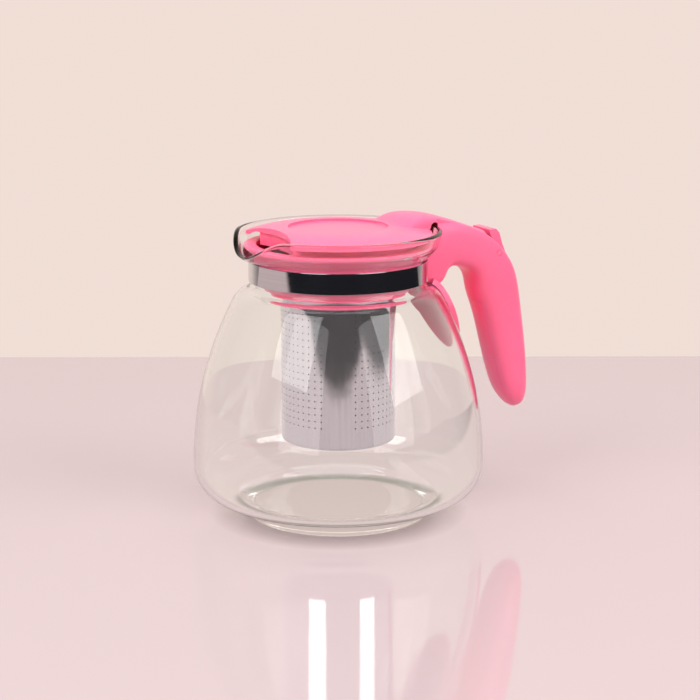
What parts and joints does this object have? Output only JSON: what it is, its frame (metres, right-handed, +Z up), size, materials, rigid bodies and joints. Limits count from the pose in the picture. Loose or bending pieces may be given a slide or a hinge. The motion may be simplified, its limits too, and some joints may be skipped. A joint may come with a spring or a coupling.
{
  "type": "glass teapot with strainer",
  "caption": "Glass teapot with a pinched pouring lip, steel neck band, plastic handle, lever-opened hinged lid and a hanging perforated steel strainer basket.",
  "frame": {"origin": "centre of the foot, on the surface the teapot stands on", "axes": "+X from the jug's axis towards the handle, the spout is at -X; +Z up; +Y across the handle"},
  "size_m": [0.1794, 0.1446, 0.1488],
  "materials": {
    "clear_glass": "clear polished",
    "polished_steel": "polished",
    "perforated_steel": "bright rolled sheet",
    "steel_fastener": "plain",
    "spring_wire": "drawn wire",
    "pink_plastic": "satin gloss",
    "pink_pin": "satin gloss"
  },
  "bodies": {
    "jug": {"glass_jug": "clear_glass", "neck_band": "polished_steel", "band_screw": "steel_fastener", "band_nut": "steel_fastener", "handle_shell": "pink_plastic", "grip_cover": "pink_plastic", "lid_pin": "steel_fastener", "lever_spring": "spring_wire"},
    "lid": {"lid_cap": "pink_plastic", "lid_plug": "pink_plastic"},
    "lever": {"thumb_lever": "pink_plastic", "lever_pin": "pink_pin"},
    "strainer": {"strainer_collar": "pink_plastic", "basket_ring": "pink_plastic", "basket_sleeve": "perforated_steel", "basket_floor": "perforated_steel"}
  },
  "joints": [
    {"name": "lid_hinge", "type": "hinge", "parent": "jug", "child": "lid", "pos_m": [0.067, 0, 0.1342], "axis": [0, 1, 0], "range_deg": [0, 60]},
    {"name": "lever_press", "type": "hinge", "parent": "jug", "child": "lever", "pos_m": [0.0855, 0, 0.1263], "axis": [0, -1, 0], "range_deg": [0, 25], "deforming": ["lever_spring"]},
    {"name": "strainer_lift", "type": "slide", "parent": "jug", "child": "strainer", "axis": [0, 0, 1], "range_m": [0, 0.0025]}
  ],
  "couplings": [
    {"joint": "lever_press", "follows": "lid_hinge", "ratio": 0.41667}
  ]
}
